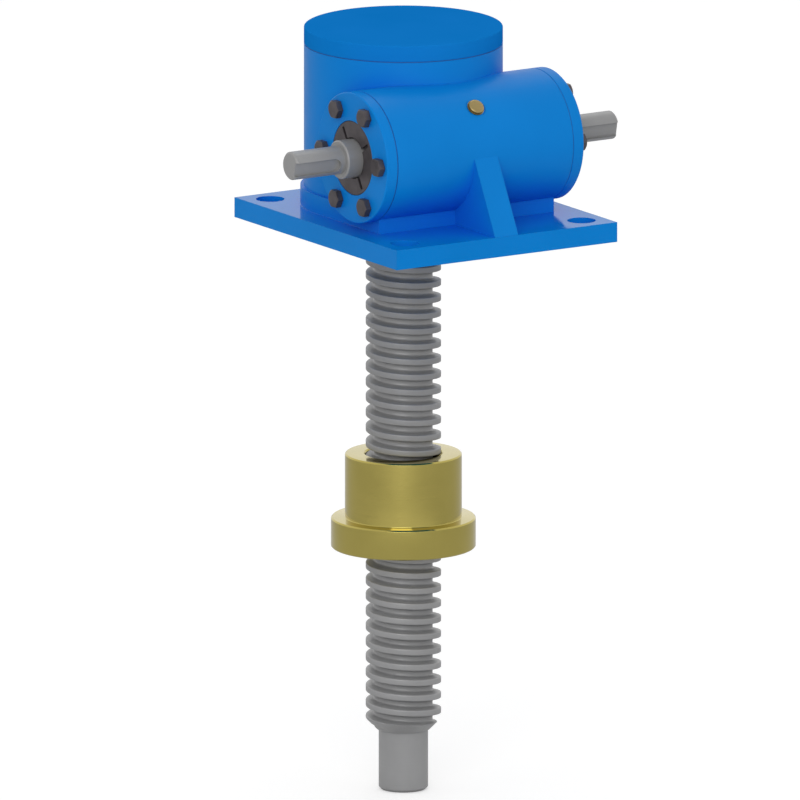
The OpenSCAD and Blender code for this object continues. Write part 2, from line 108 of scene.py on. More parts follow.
# the end covers' bolts
BOLT_R = 4.0
BOLT_ROOT_R = 3.35
BOLT_PITCH = 1.25
BOLT_LEN = 25.0
BOLT_NECK = 4.0
BOLT_NECK_CONE = 0.4
BOLT_HEAD_FLATS = 13.0
BOLT_HEAD_H = 5.3
BOLT_HEAD_CHAMFER_R = 6.2
BOLT_HEAD_CHAMFER = math.radians(30)
BOLT_WASHER_FACE = 0.25
BOLT_WASHER_INSET = 0.4
BOLT_CIRCLE_R = 40.5
BOLTS = 6
COVER_FACE = 89.2

# the oil plug
PLUG_R = 5.0
PLUG_ROOT_R = 4.4
PLUG_PITCH = 1.0
PLUG_SEAT = 51.4
PLUG_DEPTH = 12.4
PLUG_HEAD_R = 6.25
PLUG_HEAD_H = 2.4
PLUG_NECK = 1.5
PLUG_NECK_CONE = 0.5
PLUG_UNDERSIDE_CHAMFER = (0.4, 0.3)
PLUG_RIM_DROP = 0.9
PLUG_CROWN = ((0.9, 0.35), (1.4, 0.2), (PLUG_HEAD_R / 2, 0.05), (PLUG_HEAD_R, 0.0))
PLUG_KNURLS = 40
PLUG_KNURL_DEPTH = 0.24
PLUG_STEPS = 160

# the threads of the bolts and the plug
SHANK_CREST_SHARE = 1 / 16
SHANK_FLANK = math.radians(30)
SHANK_ROOT_FILLET = 0.1
SHANK_SPACING = 1.0
SHANK_TIP = 0.4

# the lip seals
SHAFT_R = 15.0
SHAFT_SEAL_R = 23.5
SHAFT_SEAL_PLAY = 0.06
SHAFT_SEAL = (78.8, 85.8)
SPINDLE_SEAL_R = 39.98
SPINDLE_SEAL_PLAY = 0.08
SPINDLE_SEAL = (1.0, 11.0)
SEAL_SECTION = (
    (1.0, 0.5, 0.0), (1.0, 0.0, 0.4), (0.3, 0.0, 0.3), (0.0, 0.06, 0.1), (0.14, 0.28, 0.4), (0.0, 0.62, 0.1),
    (0.2, 0.94, 0.3), (0.4, 0.94, 0.3), (0.45, 0.4, 0.6), (0.75, 0.4, 0.6), (0.8, 1.0, 0.3), (1.0, 1.0, 0.4),
    (1.0, 0.5, 0.0),
)

# the roundings of turned edges
FINE_EDGE = 0.3
SMALL_EDGE = 0.4
EDGE = 0.5
SPIGOT_EDGE = 0.8

# how finely the surfaces are divided, and which of their edges stay crisp
TURN_STEPS = 96
LATHE_STEPS = 144
BOLT_STEPS = 24
FLOOR_STEPS = 48
ARC_STEPS = 4
THREAD_ARC_STEPS = 2
LID_ARC_STEPS = 6
SEAL_ARC_STEPS = 3
SPARE_TURNS = 2
MERGE_DISTANCE = 0.002
BODY_SHARP = math.radians(30)
THREAD_SHARP = math.radians(40)
FASTENER_SHARP = math.radians(25)

LEFT_HAND, RIGHT_HAND = -1, 1
LEFT_END, RIGHT_END = -1, 1


# ---------------------------------------------------------------- surfaces

def rounded(corners, arc_steps=ARC_STEPS):
    """An open outline of (radius, height, fillet) corners. A fillet is an arc that touches both sides
    at fillet / tan(half the inner angle) from the corner; its centre lies on the corner's bisector."""
    corners = np.array(corners, float)
    outline = [corners[0, :2]]
    for before, here, after in zip(corners[:-2], corners[1:-1], corners[2:]):
        fillet = here[2]
        if fillet <= 0:
            outline.append(here[:2])
            continue
        back = before[:2] - here[:2]
        ahead = after[:2] - here[:2]
        back, ahead = back / np.linalg.norm(back), ahead / np.linalg.norm(ahead)
        half = math.acos(np.clip(back @ ahead, -1, 1)) / 2
        middle = (back + ahead) / np.linalg.norm(back + ahead)
        centre = here[:2] + middle * fillet / math.sin(half)
        start = here[:2] + back * fillet / math.tan(half) - centre
        end = here[:2] + ahead * fillet / math.tan(half) - centre
        turn = math.atan2(start[0] * end[1] - start[1] * end[0], start @ end)
        for part in np.linspace(0, turn, arc_steps + 1):
            c, s = math.cos(part), math.sin(part)
            outline.append(centre + [c * start[0] - s * start[1], s * start[0] + c * start[1]])
    outline.append(corners[-1, :2])
    return np.array(outline)


def resampled(outline, spacing):
    """The same outline with its long straight sides divided into equal pieces no longer than spacing."""
    pieces = []
    for a, b in zip(outline[:-1], outline[1:]):
        count = max(1, math.ceil(np.linalg.norm(b - a) / spacing))
        pieces.append(a + (b - a) * np.arange(count)[:, None] / count)
    return np.vstack([*pieces, outline[-1:]])


def angles(steps):
    """Angles of equal steps round a full turn, from 0."""
    return 2 * np.pi * np.arange(steps) / steps


def around(radius, height, turn):
    """Points (radius cos a, radius sin a, height) for arrays whose first index is the angle a."""
    turn = turn.reshape(-1, *[1] * (radius.ndim - 1))
    return np.stack([radius * np.cos(turn), radius * np.sin(turn), height + 0 * turn], axis=-1)


def grid_quads(rows, columns, shift=0):
    """Quads of a grid of points whose last row joins its first, shift points further along. Point (i, j)
    has number columns * i + j, and a quad that would reach past the end of a row is left out."""
    i, j = np.meshgrid(np.arange(rows), np.arange(columns - 1), indexing="ij")
    ahead = j + np.where(i == rows - 1, shift, 0)
    here, after = i * columns + j, (i + 1) % rows * columns + ahead
    quads = np.stack([here, after, after + 1, here + 1], axis=-1)
    return quads[(ahead >= 0) & (ahead + 1 < columns)]


def rings(radii, heights, steps):
    """A surface through rings round the Z axis. Each ring has a radius and a height, and either may be one
    number or vary with the angle. Rings run upwards on the outside, so that the faces point outwards."""
    r, z = (np.stack([ring + np.zeros(steps) for ring in values], axis=1) for values in (radii, heights))
    return around(r, z, angles(steps)).reshape(-1, 3), grid_quads(steps, len(radii))


def turned(outline, steps=LATHE_STEPS):
    """A surface of revolution: each outline point (r, z) goes round the Z axis."""
    return rings(*outline.T, steps)


def thread_section(pitch, crest_r, root_r, crest_half, flank, crest_fillet, root_fillet, spacing):
    """One pitch of a trapezoidal thread from root to root as (axial offset, radius) points: the crest
    is 2 crest_half wide and the flanks lean by the flank angle, with rounded crest and root edges."""
    root_half = crest_half + abs(crest_r - root_r) * math.tan(flank)
    corners = [(-pitch / 2, root_r, 0), (-root_half, root_r, root_fillet),
               (-crest_half, crest_r, crest_fillet), (crest_half, crest_r, crest_fillet),
               (root_half, root_r, root_fillet), (pitch / 2, root_r, 0)]
    return resampled(rounded(corners, THREAD_ARC_STEPS), spacing)


def helical(section, pitch, hand, low, high, steps, limit=None):
    """A threaded surface between two planes. Point (a, j) of the grid is the section's point j, raised by
    hand * pitch * a / 2 pi and moved a whole pitch up for each repeat; what lies past a plane is drawn
    in to the thread's own edge on that plane. limit bends the radius to a cone or chamfer."""
    offset, radius = section[:-1].T
    count = len(offset)
    turn = angles(steps)
    rise = hand * pitch * turn / (2 * np.pi)
    first = math.floor(low / pitch) - SPARE_TURNS
    turns = math.ceil(high / pitch) + SPARE_TURNS - first
    z = (offset + pitch * (first + np.arange(turns))[:, None]).ravel() + rise[:, None]
    r = np.broadcast_to(np.tile(radius, turns), z.shape).copy()
    edges = []
    for plane, beyond in ((low, z < low), (high, z > high)):
        phase = (plane - rise + pitch / 2) % pitch - pitch / 2
        edge = np.interp(phase, section[:, 0], section[:, 1])
        r = np.where(beyond, edge[:, None], r)
        z = np.where(beyond, plane, z)
        edges.append(edge)
    if limit is not None:
        r = limit(r, z)
        edges = [limit(edge, np.full(steps, plane)) for edge, plane in zip(edges, (low, high))]
    quads = grid_quads(steps, turns * count, hand * count)
    return around(r, z, turn).reshape(-1, 3), quads, edges


def joined(*surfaces):
    """One list of points and one of quads from several (points, quads) surfaces."""
    points, quads, first = [], [], 0
    for surface in surfaces:
        points.append(surface[0])
        quads.append(surface[1] + first)
        first += len(surface[0])
    return np.vstack(points), np.vstack(quads)


def along_worm(points, end):
    """Lays points that stand along Z on the worm's axis, so that Z runs out to its right end, +X, or to its
    left end, -X: (x, y, z) goes to (end * z, y, -end * x) from the axis."""
    x, y, z = points.T
    return np.stack([end * z, y + WORM_AXIS_Y, WORM_AXIS_Z - end * x], axis=-1)


def solid(name, points, quads, sharp=BODY_SHARP):
    """A closed mesh object from points in millimetres. Points that coincide are merged, and edges that
    turn by more than the sharp angle stay crisp."""
    mesh = bpy.data.meshes.new(name)
    mesh.from_pydata((np.asarray(points) * MM).tolist(), [], np.asarray(quads).tolist())
    work = bmesh.new()
    work.from_mesh(mesh)
    bmesh.ops.remove_doubles(work, verts=work.verts, dist=MERGE_DISTANCE * MM)
    work.to_mesh(mesh)
    work.free()
    mesh.polygons.foreach_set("use_smooth", np.ones(len(mesh.polygons), bool))
    mesh.set_sharp_from_angle(angle=sharp)
    piece = bpy.data.objects.new(name, mesh)
    bpy.context.scene.collection.objects.link(piece)
    return piece


def dress(piece, body, replaced, material):
    """Puts a piece on its body in place of the CAD nodes it stands for, in its finish."""
    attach(piece, body)
    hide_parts(*replaced)
    piece.data.materials.clear()
    piece.data.materials.append(material)


# ---------------------------------------------------------------- pieces

def make_spindle():
    """The trapezoidal screw with its collar, bearing journals and end chamfers, as one skin."""
    section = thread_section(THREAD_PITCH, THREAD_CREST_R, THREAD_ROOT_R, CREST_HALF, FLANK,
                             THREAD_CREST_FILLET, THREAD_ROOT_FILLET, THREAD_SPACING)
    low = THREAD_END - THREAD_TAPER

    def taper(r, z):
        return np.minimum(r, THREAD_CREST_R + THREAD_TAPER_LEAD - (THREAD_END - z).clip(0))

    points, quads, (low_edge, high_edge) = helical(
        section, THREAD_PITCH, LEFT_HAND, low, GROOVE_BOTTOM, TURN_STEPS, taper)
    tail = rounded([(0, SPINDLE_END, 0), (JOURNAL_R - JOURNAL_CHAMFER, SPINDLE_END, SMALL_EDGE),
                    (JOURNAL_R, SPINDLE_END + JOURNAL_CHAMFER, SMALL_EDGE), (JOURNAL_R, low, 0)])
    head = rounded([(GROOVE_R, GROOVE_BOTTOM, 0), (GROOVE_R, COLLAR_BOTTOM - COLLAR_CONE, GROOVE_FILLET),
                    (THREAD_CREST_R - COLLAR_CONE, COLLAR_BOTTOM, EDGE),
                    (THREAD_CREST_R, COLLAR_BOTTOM, EDGE), (THREAD_CREST_R, COLLAR_TOP, EDGE),
                    (CORE_R, COLLAR_TOP, EDGE),
                    (CORE_R, SPINDLE_TOP - SPINDLE_TOP_CHAMFER, FINE_EDGE),
                    (CORE_R - SPINDLE_TOP_CHAMFER, SPINDLE_TOP, FINE_EDGE), (0, SPINDLE_TOP, 0)])
    foot = rings([*tail[:, 0], low_edge], [*tail[:, 1], low], TURN_STEPS)
    top = rings([high_edge, *head[:, 0]], [GROOVE_BOTTOM, *head[:, 1]], TURN_STEPS)
    return solid("spindle_screw", *joined(foot, (points, quads), top), THREAD_SHARP)


def make_nut():
    """The flanged nut: its turned outside, chamfered mouths and threaded bore, as one skin."""
    crest_half = CREST_HALF + NUT_PLAY - (NUT_BORE_CREST_R - THREAD_CREST_R) * math.tan(FLANK)
    section = thread_section(THREAD_PITCH, NUT_BORE_CREST_R, NUT_BORE_ROOT_R, crest_half, FLANK,
                             NUT_THREAD_FILLET, NUT_THREAD_FILLET, NUT_THREAD_SPACING)
    mouth_r = NUT_BORE_CREST_R + NUT_MOUTH

    def mouths(r, z):
        depth = np.minimum(NUT_TOP - z, z - NUT_BOTTOM).clip(0)
        return np.maximum(r, mouth_r - depth * NUT_MOUTH_SLOPE)

    points, quads, _ = helical(section, THREAD_PITCH, LEFT_HAND, NUT_BOTTOM, NUT_TOP, TURN_STEPS, mouths)
    outline = rounded([(mouth_r, NUT_BOTTOM, 0), (NUT_FLANGE_R - NUT_CHAMFER, NUT_BOTTOM, FINE_EDGE),
                       (NUT_FLANGE_R, NUT_BOTTOM + NUT_CHAMFER, FINE_EDGE),
                       (NUT_FLANGE_R, NUT_FLANGE_TOP - NUT_CHAMFER, FINE_EDGE),
                       (NUT_FLANGE_R - NUT_CHAMFER, NUT_FLANGE_TOP, FINE_EDGE),
                       (NUT_R, NUT_FLANGE_TOP, NUT_FLANGE_FILLET), (NUT_R, NUT_TOP - NUT_CHAMFER, FINE_EDGE),
                       (NUT_R - NUT_CHAMFER, NUT_TOP, FINE_EDGE), (mouth_r, NUT_TOP, 0)])
    return solid("nut_body", *joined(turned(outline, TURN_STEPS), (points, quads[:, ::-1])), THREAD_SHARP)


def make_lid():
    """The drum's cover: a turned disc with a rounded rim, its spigot and the pocket for the bearing."""
    outline = rounded([
        (0, LID_POCKET_TOP, 0), (LID_POCKET_R, LID_POCKET_TOP, LID_POCKET_FILLET),
        (LID_POCKET_R, LID_BEARING_SEAT, EDGE), (LID_BEARING_R, LID_BEARING_SEAT, EDGE),
        (LID_BEARING_R, LID_SPIGOT_BOTTOM, EDGE), (LID_SPIGOT_R, LID_SPIGOT_BOTTOM, SPIGOT_EDGE),
        (LID_SPIGOT_R, LID_SEAT, 0), (LID_R, LID_SEAT, EDGE), (LID_R, LID_TOP, LID_RIM), (0, LID_TOP, 0)],
        LID_ARC_STEPS)
    return solid("drum_lid", *turned(outline))


def threaded_shank(radius, root_r, pitch, low, high, steps):
    """A cut 60 degree thread between two heights with a coned tip, and the radii of its high edge."""
    section = thread_section(pitch, radius, root_r, pitch * SHANK_CREST_SHARE, SHANK_FLANK, 0,
                             SHANK_ROOT_FILLET, SHANK_SPACING)

    def tip(r, z):
        return np.minimum(r, root_r - SHANK_TIP + (z - low).clip(0))

    points, quads, (low_edge, high_edge) = helical(section, pitch, RIGHT_HAND, low, high, steps, tip)
    return joined(rings([0, low_edge], [low, low], steps), (points, quads)), high_edge


def hexagon_radius(turn, flats):
    """Distance from the axis to a hexagon with a corner at angle 0: half the flats / cos(angle - 30 deg),
    with the angle taken modulo 60 deg."""
    return flats / 2 / np.cos(turn % (np.pi / 3) - np.pi / 6)


def hex_bolt():
    """A hexagon-head bolt along Z, its head's underside on Z = 0: a threaded shank, a plain neck, a washer
    face, and a head whose corners are cut back by a 30 degree cone."""
    shank, edge = threaded_shank(BOLT_R, BOLT_ROOT_R, BOLT_PITCH, -BOLT_LEN, -BOLT_NECK, BOLT_STEPS)
    corner = hexagon_radius(angles(BOLT_STEPS), BOLT_HEAD_FLATS)
    chamfer = BOLT_HEAD_H - (corner - BOLT_HEAD_CHAMFER_R) * math.tan(BOLT_HEAD_CHAMFER)
    face_r = BOLT_HEAD_FLATS / 2 - BOLT_WASHER_INSET
    head = rings([edge, BOLT_R, BOLT_R, face_r, face_r, corner, corner, BOLT_HEAD_CHAMFER_R, 0],
                 [-BOLT_NECK, -BOLT_NECK + BOLT_NECK_CONE, 0, 0, BOLT_WASHER_FACE, BOLT_WASHER_FACE, chamfer,
                  BOLT_HEAD_H, BOLT_HEAD_H], BOLT_STEPS)
    return joined(shank, head)


def make_cover_bolts(name, end):
    """Six bolts on their circle round the worm's axis, with a corner of each head pointing outwards. Each
    stands on the circle at angle 0 and is turned with it to its own place."""
    points, quads = hex_bolt()
    x, y, z = (points + (BOLT_CIRCLE_R, 0, COVER_FACE)).T
    bolts = []
    for turn in np.pi / 2 + angles(BOLTS):
        c, s = math.cos(turn), math.sin(turn)
        bolts.append((along_worm(np.stack([c * x - s * y, s * x + c * y, z], axis=1), end), quads))
    return solid(name, *joined(*bolts), FASTENER_SHARP)


def make_oil_plug():
    """The brass plug on the front of the barrel: a threaded shank under a low disc with a knurled rim. The
    rim's radius falls by half the knurl's depth * (1 + cos(knurls * angle)). The crown's rings are given by
    their inset from the head's radius and their drop from its top. The plug is turned 45 deg about the
    worm's axis, from straight up towards the front."""
    neck, top = PLUG_SEAT - PLUG_NECK, PLUG_SEAT + PLUG_HEAD_H
    shank, edge = threaded_shank(PLUG_R, PLUG_ROOT_R, PLUG_PITCH, PLUG_SEAT - PLUG_DEPTH, neck, PLUG_STEPS)
    rim = PLUG_HEAD_R - PLUG_KNURL_DEPTH / 2 * (1 + np.cos(PLUG_KNURLS * angles(PLUG_STEPS)))
    under_inset, under_rise = PLUG_UNDERSIDE_CHAMFER
    inset, drop = np.array(PLUG_CROWN).T
    head = rings([edge, PLUG_R, PLUG_R, PLUG_HEAD_R - under_inset, rim, rim, *(PLUG_HEAD_R - inset)],
                 [neck, neck + PLUG_NECK_CONE, PLUG_SEAT, PLUG_SEAT, PLUG_SEAT + under_rise,
                  top - PLUG_RIM_DROP, *(top - drop)], PLUG_STEPS)
    points, quads = joined(shank, head)
    x, y, z = points.T
    lean = math.sqrt(0.5)
    leaned = np.stack([x, WORM_AXIS_Y + lean * (y - z), WORM_AXIS_Z + lean * (y + z)], axis=1)
    return solid("oil_plug_screw", leaned, quads, FASTENER_SHARP)


def lip_seal(outer_r, shaft_r, low, high):
    """The closed section of a rubber lip seal turned about Z: a square case, a dust lip at its high face
    and a main lip below it, with a trough behind the main lip for its spring. SEAL_SECTION's corners are
    (share of the width from the shaft outwards, share of the height from the high face down, fillet)."""
    across, down, fillet = np.array(SEAL_SECTION).T
    corners = np.stack([shaft_r + (outer_r - shaft_r) * across, high - (high - low) * down, fillet], axis=1)
    return turned(rounded(corners, SEAL_ARC_STEPS))


def make_shaft_seals():
    """The lip seals of both shaft ends, their dust lips facing out."""
    points, quads = lip_seal(SHAFT_SEAL_R, SHAFT_R + SHAFT_SEAL_PLAY, *SHAFT_SEAL)
    ends = [(along_worm(points, end), quads) for end in (RIGHT_END, LEFT_END)]
    return solid("shaft_lip_seals", *joined(*ends))


def make_spindle_seal():
    """The lip seal round the spindle's collar, its dust lip facing down."""
    low, high = SPINDLE_SEAL
    points, quads = lip_seal(SPINDLE_SEAL_R, THREAD_CREST_R + SPINDLE_SEAL_PLAY, low, high)
    points[:, 2] = low + high - points[:, 2]
    return solid("spindle_lip_seal", points, quads[:, ::-1])


# ---------------------------------------------------------------- materials

# Noise scales are in turns per metre of the Object coordinates, and depths and reaches in millimetres.

SMOOTH_DETAIL, FINE_DETAIL = 2.0, 3.0
EDGE_SAMPLES = 4
CAST_DRIFT_SCALE = 14.0
CAST_CLOUD_SCALE = 60.0
CAST_CLOUD_GLOSS = (-0.03, 0.05)
CAST_PEEL_SCALE = 260.0
CAST_PEEL_DEPTH = 0.004
CAST_EDGE = 0.6
PLATE_STEP = 1.5
# Painted shade on the enamel: a deeper blue where ambient occlusion finds a hollow within the reach.
PAINTED_SHADE_REACH = 60.0
PAINTED_SHADE_RANGE = (0.35, 0.75)
PAINTED_SHADE_SAMPLES = 8
PAINTED_SHADE_BLUE = (0.005, 0.165, 0.690)

LATHE_RINGS = {"z": (3, 3, 700), "x": (700, 3, 3)}
LATHE_GLOSS = (-0.04, 0.05)
LATHE_DEPTH = 0.004
STAIN_SCALE = 30.0
METAL_EDGE = 0.3

# Painted shade on the spindle's thread: an even factor in the roots, and a painted shadow of the gearbox on
# the crests that deepens from the lower level up to the higher one.
ROOT_SHADE = 0.88
GEARBOX_SHADOW_SHADE = (0.95, 0.74)
GEARBOX_SHADOW_LEVELS = (-310.0, -30.0)
SHADE_BLEND = 1.0

GRAIN_TONE_SCALE = 120.0
GRAIN_GLOSS_SCALE = 200.0
GRAIN_GLOSS = (-0.05, 0.08)
GRAIN_SCALE = 500.0
GRAIN_DEPTH = 0.01
GRAIN_STRENGTH = 0.6


def material_nodes(name):
    """A new material with its output and one Principled shader, whose sockets the finishes fill."""
    material = bpy.data.materials.new(name)
    material.use_nodes = True
    tree = material.node_tree
    tree.nodes.clear()
    output = tree.nodes.new("ShaderNodeOutputMaterial")
    shader = tree.nodes.new("ShaderNodeBsdfPrincipled")
    tree.links.new(shader.outputs["BSDF"], output.inputs["Surface"])
    return material, tree, shader


def add(tree, kind, inputs=None, **settings):
    """A new shader node with its settings made and its inputs set or linked."""
    made = tree.nodes.new("ShaderNode" + kind)
    for name, value in settings.items():
        setattr(made, name, value)
    for socket, value in (inputs or {}).items():
        if isinstance(value, bpy.types.NodeSocket):
            tree.links.new(value, made.inputs[socket])
        else:
            made.inputs[socket].default_value = value
    return made


def place(tree, scale=(1, 1, 1)):
    """Object coordinates, scaled."""
    coordinates = add(tree, "TexCoord").outputs["Object"]
    return add(tree, "Mapping", {"Vector": coordinates, "Scale": scale}).outputs["Vector"]


def noise(tree, where, scale, detail=FINE_DETAIL):
    """Smooth random values, nearly all of them from 0.3 to 0.7."""
    return add(tree, "TexNoise", {"Vector": where, "Scale": scale, "Detail": detail}).outputs["Fac"]


def spread(tree, value, low, high, start=0.3, stop=0.7):
    """Maps a value from start...stop, or the range that noise keeps to, to low...high."""
    return add(tree, "MapRange", {"Value": value, "From Min": start, "From Max": stop, "To Min": low,
                                  "To Max": high}).outputs["Result"]


def blend_colour(tree, factor, dark, light):
    """A colour that goes from dark to light as the factor goes from 0 to 1."""
    mixed = add(tree, "Mix", data_type="RGBA")
    tree.links.new(factor, mixed.inputs["Factor"])
    mixed.inputs["A"].default_value = (*dark, 1)
    mixed.inputs["B"].default_value = (*light, 1)
    return mixed.outputs["Result"]


def skin(tree, height, depth, edge, strength=1.0):
    """A bumped surface of some depth, with its edges seen as rounded by an edge radius."""
    soft = add(tree, "Bevel", {"Radius": edge * MM}, samples=EDGE_SAMPLES).outputs["Normal"]
    return add(tree, "Bump", {"Height": height, "Distance": depth * MM, "Strength": strength,
                              "Normal": soft}).outputs["Normal"]


def link(tree, output, shader, socket):
    """Feeds an output to one of a shader's named sockets."""
    tree.links.new(output, shader.inputs[socket])


def paint(name, dark, light, specular, roughness, plate_roughness):
    """Enamel on a fine casting: slow drifts of shade and gloss under a very shallow orange-peel skin. Painted
    shade: in hollows, which ambient occlusion finds, the colour turns to a deeper blue. The machined top of
    the base plate, up to PLATE_TOP, takes a smoother coat than the cast walls above it."""
    material, tree, shader = material_nodes(name)
    where = place(tree)
    drift = spread(tree, noise(tree, where, CAST_DRIFT_SCALE, SMOOTH_DETAIL), 0, 1)
    coat_colour = blend_colour(tree, drift, dark, light)
    # Painted shade: the colour is mixed towards a deeper blue where ambient occlusion finds a hollow.
    open_air = add(tree, "AmbientOcclusion", {"Distance": PAINTED_SHADE_REACH * MM}, samples=PAINTED_SHADE_SAMPLES)
    painted_shade = spread(tree, open_air.outputs["AO"], 1, 0, *PAINTED_SHADE_RANGE)
    shaded_coat = add(tree, "Mix", {"Factor": painted_shade, "A": coat_colour, "B": (*PAINTED_SHADE_BLUE, 1)}, data_type="RGBA")
    link(tree, shaded_coat.outputs["Result"], shader, "Base Color")
    height = add(tree, "SeparateXYZ", {"Vector": where}).outputs["Z"]
    coat = spread(tree, height, plate_roughness, roughness, PLATE_TOP * MM, (PLATE_TOP + PLATE_STEP) * MM)
    cloud = spread(tree, noise(tree, where, CAST_CLOUD_SCALE), *CAST_CLOUD_GLOSS)
    link(tree, add(tree, "Math", {0: coat, 1: cloud}, operation="ADD").outputs["Value"], shader, "Roughness")
    peel = noise(tree, where, CAST_PEEL_SCALE, SMOOTH_DETAIL)
    link(tree, skin(tree, peel, CAST_PEEL_DEPTH, CAST_EDGE), shader, "Normal")
    shader.inputs["Specular IOR Level"].default_value = specular
    return material


def turned_metal(name, dark, light, roughness, axis, metallic=1.0, shade=None):
    """Lathe-cut metal: faint rings round the turning axis, with slow stains of tone. shade makes a factor
    that the colour is multiplied by."""
    material, tree, shader = material_nodes(name)
    grooves = noise(tree, place(tree, LATHE_RINGS[axis]), 1.0, SMOOTH_DETAIL)
    stains = noise(tree, place(tree), STAIN_SCALE)
    colour = blend_colour(tree, spread(tree, stains, 0, 1), dark, light)
    if shade is not None:
        shaded = add(tree, "VectorMath", {"Vector": colour, "Scale": shade(tree)}, operation="SCALE")
        colour = shaded.outputs["Vector"]
    link(tree, colour, shader, "Base Color")
    gloss = spread(tree, grooves, *(roughness + change for change in LATHE_GLOSS))
    link(tree, gloss, shader, "Roughness")
    link(tree, skin(tree, grooves, LATHE_DEPTH, METAL_EDGE), shader, "Normal")
    shader.inputs["Metallic"].default_value = metallic
    return material


def painted_thread_shade(tree):
    """A painted shade for the spindle: the roots are darkened evenly, and the crests take a painted shadow of
    the gearbox that deepens upwards towards it. The cone and the journal below the thread are left unshaded."""
    where = place(tree)
    flat = add(tree, "VectorMath", {0: where, 1: (1, 1, 0)}, operation="MULTIPLY").outputs["Vector"]
    radius = add(tree, "VectorMath", {0: flat}, operation="LENGTH").outputs["Value"]
    height = add(tree, "SeparateXYZ", {"Vector": where}).outputs["Z"]
    # Painted shadow of the gearbox on the crests, deeper towards the top, and painted shade in the roots.
    painted_shadow = spread(tree, height, *GEARBOX_SHADOW_SHADE, *(level * MM for level in GEARBOX_SHADOW_LEVELS))
    thread_shade = spread(tree, radius, ROOT_SHADE, painted_shadow, (THREAD_ROOT_R + SHADE_BLEND) * MM,
                 (THREAD_CREST_R - SHADE_BLEND) * MM)
    clean = spread(tree, height, 1, 0, (THREAD_END - SHADE_BLEND) * MM, (THREAD_END + SHADE_BLEND) * MM)
    return add(tree, "Math", {0: thread_shade, 1: clean}, operation="MAXIMUM").outputs["Value"]


def matt(name, dark, light, roughness, metallic=0.0):
    """A plain dull surface with a fine grain, as on black oxide, rubber and sealant."""
    material, tree, shader = material_nodes(name)
    where = place(tree)
    tone = spread(tree, noise(tree, where, GRAIN_TONE_SCALE), 0, 1)
    link(tree, blend_colour(tree, tone, dark, light), shader, "Base Color")
    cloud = noise(tree, where, GRAIN_GLOSS_SCALE)
    gloss = spread(tree, cloud, *(roughness + change for change in GRAIN_GLOSS))
    link(tree, gloss, shader, "Roughness")
    grain = skin(tree, noise(tree, where, GRAIN_SCALE), GRAIN_DEPTH, METAL_EDGE, GRAIN_STRENGTH)
    link(tree, grain, shader, "Normal")
    shader.inputs["Metallic"].default_value = metallic
    return material


# The enamels carry painted shade in their hollows.
BLUE = paint("blue_enamel", (0.001, 0.196, 0.600), (0.002, 0.210, 0.640),
             specular=0.08, roughness=0.36, plate_roughness=0.09)
BLUE_COVER = paint("blue_enamel_cover", (0.004, 0.180, 0.560), (0.006, 0.190, 0.590),
                   specular=0.0, roughness=0.5, plate_roughness=0.5)
STEEL = turned_metal("turned_steel", (0.32, 0.32, 0.323), (0.36, 0.36, 0.363),
                     roughness=0.42, axis="z", metallic=0.3)
# The spindle's steel, with painted shade in its roots and a painted shadow of the gearbox on its crests.
THREAD_STEEL = turned_metal("thread_steel_painted_shade", (0.315, 0.315, 0.318), (0.35, 0.35, 0.353),
                            roughness=0.42, axis="z", metallic=0.3, shade=painted_thread_shade)
SHAFT_STEEL = turned_metal("shaft_steel", (0.27, 0.27, 0.27), (0.30, 0.30, 0.30),
                           roughness=0.42, axis="x", metallic=0.25)
GROUND_STEEL = turned_metal("ground_steel", (0.50, 0.51, 0.53), (0.58, 0.59, 0.61), roughness=0.22, axis="z")
BRONZE = turned_metal("tin_bronze", (0.44, 0.37, 0.100), (0.49, 0.41, 0.115), roughness=0.13, axis="z")
BRASS = turned_metal("brass", (0.32, 0.245, 0.105), (0.37, 0.28, 0.125), roughness=0.28, axis="z")
BLACK = matt("black_oxide", (0.070, 0.062, 0.066), (0.100, 0.088, 0.094), roughness=0.45, metallic=0.6)
RUBBER = matt("nitrile_rubber", (0.012, 0.012, 0.013), (0.022, 0.022, 0.024), roughness=0.6)
SEALANT = matt("sealant", (0.003, 0.085, 0.290), (0.004, 0.105, 0.350), roughness=0.6)

FINISHES = {
    "blue_paint": BLUE, "turned_steel": STEEL, "bearing_steel": GROUND_STEEL, "black_steel": BLACK,
    "shim_steel": SEALANT, "bronze": BRONZE, "brass": BRASS, "seal_rubber": RUBBER, "sealant": SEALANT,
}
OWN_FINISH = {"worm_shaft": SHAFT_STEEL, "top_cover": BLUE_COVER}


def finish_nodes():
    """Gives every CAD node the finish of its slot, or its own."""
    slots = {part["node"]: part["material_slot"] for part in frame["record"]["subparts"]}
    for name, node in frame["nodes"].items():
        finish = OWN_FINISH.get(name, FINISHES[slots[name]])
        node.data.materials.clear()
        node.data.materials.append(finish)


# ---------------------------------------------------------------- studio

# The view's width, its aim and the floor's sizes are in millimetres. The camera and lamps stand in metres.

AZIMUTH, ELEVATION = math.radians(-32.1), math.radians(11.9)
VIEW_WIDTH = 614.96
AIM_RIGHT, AIM_UP = -2.6, -136.8
CAMERA_DISTANCE = 3.0
CAMERA_REACH = 100.0
FLOOR_RADIUS = 6000.0
FLOOR_DROP = 0.4
FLOOR_WHITE = 0.70
FLOOR_LIFT = 0.42
DOME = 0.74
FRONT_GLOSS, BACK_GLOSS = 0.9, 1.1
BACKDROP_BLEND = (-0.2, 0.8)
KEY_ENERGY = 36.0
KEY_PLACE = (-1.9, -2.6, 1.3)
FILL_ENERGY = 14.0
FILL_PLACE = (1.6, 2.1, 3.2)
LAMP_AIM = (0, 0, -0.1)
LAMP_SIZE = 2.6

LOOK_BACK = np.array([math.sin(AZIMUTH) * math.cos(ELEVATION), -math.cos(AZIMUTH) * math.cos(ELEVATION),
                      math.sin(ELEVATION)])
LOOK_RIGHT = np.array([math.cos(AZIMUTH), math.sin(AZIMUTH), 0])
LOOK_UP = np.cross(LOOK_BACK, LOOK_RIGHT)


